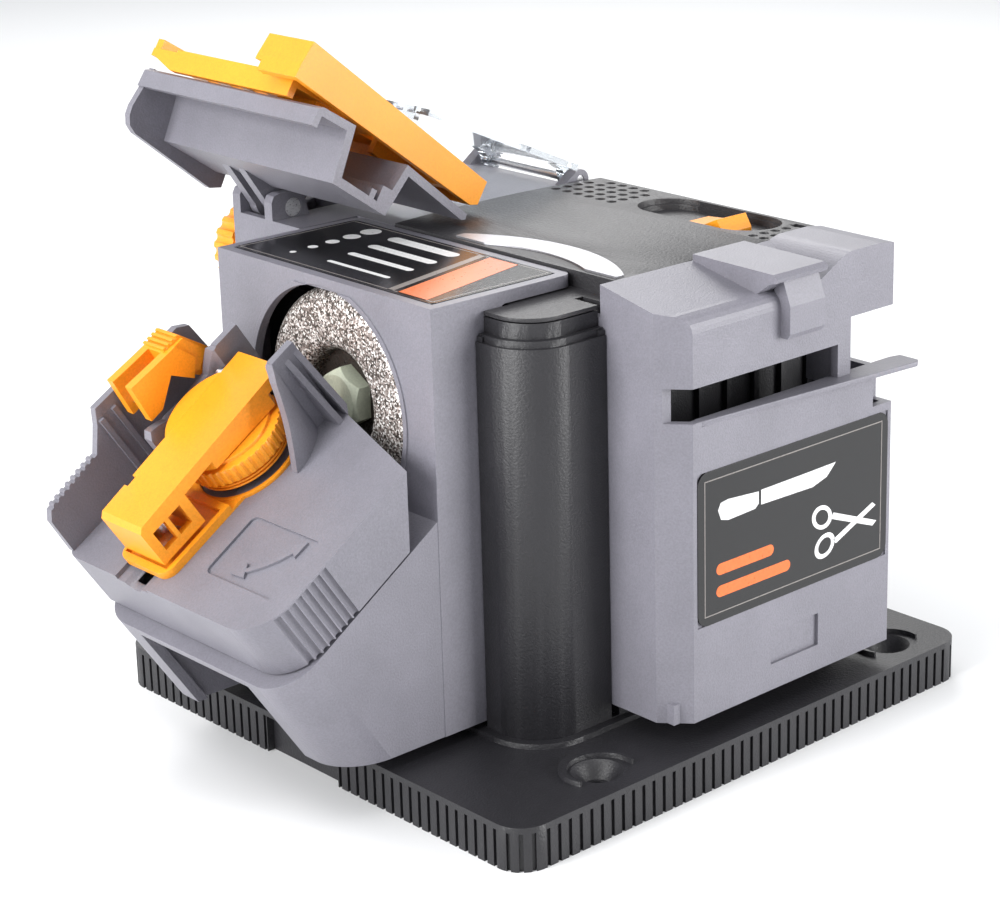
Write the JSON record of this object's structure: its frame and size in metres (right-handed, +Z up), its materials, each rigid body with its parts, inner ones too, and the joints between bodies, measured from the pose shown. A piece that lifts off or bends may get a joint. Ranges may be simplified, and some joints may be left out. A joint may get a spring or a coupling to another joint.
{
  "type": "multi_purpose_cup_wheel_sharpener",
  "caption": "Electric bench sharpener: motor tower on a flat base, diamond cup wheel, slide-on attachments for drill bits, knives and scissors, chisels and plane irons.",
  "frame": {"origin": "Centre of the square base's underside, on the surface it stands on", "axes": "+Z up; +Y along the front edge towards the chisel attachment; -X faces the drill attachment, -Y the knife attachment; the wheel shaft runs along X"},
  "size_m": [0.23, 0.2004, 0.2024],
  "materials": {
    "black_plastic": "fine texture",
    "grey_plastic": "fine texture",
    "orange_plastic": "smooth",
    "steel": "turned",
    "copper": "enamelled wire",
    "diamond_grit": "coarse grit",
    "label_film": "printed film",
    "silver_film": "satin",
    "clear_plastic": "clear"
  },
  "bodies": {
    "frame": {"base_plate": "black_plastic", "motor_housing": "black_plastic", "housing_screws": "steel", "top_cover": "black_plastic", "cover_badge": "silver_film", "cord_gland": "black_plastic", "switch_frame": "black_plastic", "motor_mounts": "black_plastic", "stator": "steel", "field_coils": "copper", "brush_holders": "copper", "brushes": "steel", "bearing_front": "steel", "bearing_rear": "steel"},
    "rotor": {"shaft": "steel", "armature": "steel", "armature_windings": "copper", "commutator": "copper", "cooling_fan": "black_plastic", "wheel_flange": "steel", "diamond_wheel": "diamond_grit", "hub_nut": "steel"},
    "rocker": {"switch_rocker": "orange_plastic"},
    "drill_unit": {"drill_attachment": "grey_plastic", "drill_label": "label_film", "cradle_pin": "steel"},
    "cradle": {"drill_cradle": "grey_plastic", "clamp_base": "orange_plastic", "clamp_pin": "steel"},
    "lever": {"clamp_lever": "orange_plastic"},
    "knob": {"clamp_knob": "orange_plastic"},
    "tip": {"tip_clamp": "orange_plastic", "gauge_plate": "steel"},
    "knife_unit": {"knife_attachment": "grey_plastic", "knife_label": "label_film", "knife_guide": "grey_plastic"},
    "chisel_unit": {"chisel_attachment": "grey_plastic", "table_pin": "steel", "shield_pin": "steel"},
    "table": {"tool_table": "grey_plastic"},
    "lock": {"angle_knob": "orange_plastic", "angle_bolt": "steel"},
    "carriage": {"chisel_carriage": "orange_plastic"},
    "bar": {"chisel_lever": "orange_plastic", "lever_pin": "steel"},
    "shield": {"clear_shield": "clear_plastic"}
  },
  "joints": [
    {"name": "wheel_spin", "type": "hinge", "parent": "frame", "child": "rotor", "pos_m": [-0.06, 0.0085, 0.1045], "axis": [1, 0, 0], "continuous": true},
    {"name": "switch_press", "type": "hinge", "parent": "frame", "child": "rocker", "pos_m": [0.0505, -0.025, 0.1366], "axis": [1, 0, 0], "range_deg": [0, 20]},
    {"name": "drill_unit_lift", "type": "slide", "parent": "frame", "child": "drill_unit", "axis": [0, 0, 1], "range_m": [0, 0.0025]},
    {"name": "cradle_swing", "type": "hinge", "parent": "drill_unit", "child": "cradle", "pos_m": [-0.09831, 0.007, 0.07528], "axis": [-0.5519, 0, 0.8339], "range_deg": [-14, 14]},
    {"name": "clamp_travel", "type": "slide", "parent": "cradle", "child": "lever", "axis": [-0.5519, 0, 0.8339], "range_m": [-0.0022, 0]},
    {"name": "clamp_turn", "type": "hinge", "parent": "lever", "child": "knob", "pos_m": [-0.0974, 0.0185, 0.09746], "axis": [-0.5519, 0, 0.8339], "range_deg": [-450, 0]},
    {"name": "tip_clamp_tilt", "type": "hinge", "parent": "cradle", "child": "tip", "pos_m": [-0.0907, 0.043, 0.11269], "axis": [0, 1, 0], "range_deg": [0, 15], "stiffness_Nm_per_rad": 0.03, "springref_deg": -8.59},
    {"name": "knife_unit_lift", "type": "slide", "parent": "frame", "child": "knife_unit", "axis": [0, 0, 1], "range_m": [0, 0.12]},
    {"name": "chisel_unit_lift", "type": "slide", "parent": "frame", "child": "chisel_unit", "axis": [0, 0, 1], "range_m": [0, 0.12]},
    {"name": "table_tilt", "type": "hinge", "parent": "chisel_unit", "child": "table", "pos_m": [-0.034, 0.082, 0.144], "axis": [0, 1, 0], "range_deg": [-6, 2]},
    {"name": "angle_lock_turn", "type": "hinge", "parent": "chisel_unit", "child": "lock", "pos_m": [-0.028, 0.098, 0.126], "axis": [0, 1, 0], "range_deg": [0, 180]},
    {"name": "carriage_slide", "type": "slide", "parent": "table", "child": "carriage", "axis": [0, 1, 0], "range_m": [-0.014, 0.025]},
    {"name": "bar_lift", "type": "hinge", "parent": "carriage", "child": "bar", "pos_m": [-0.04974, 0.04, 0.19035], "axis": [0, 1, 0], "range_deg": [-5, 0]},
    {"name": "shield_lift", "type": "hinge", "parent": "chisel_unit", "child": "shield", "pos_m": [0.0576, 0.067, 0.142], "axis": [0, 1, 0], "range_deg": [0, 80]}
  ],
  "couplings": [
    {"joint": "clamp_turn", "follows": "clamp_travel", "rad_per_m": 3569.9}
  ]
}
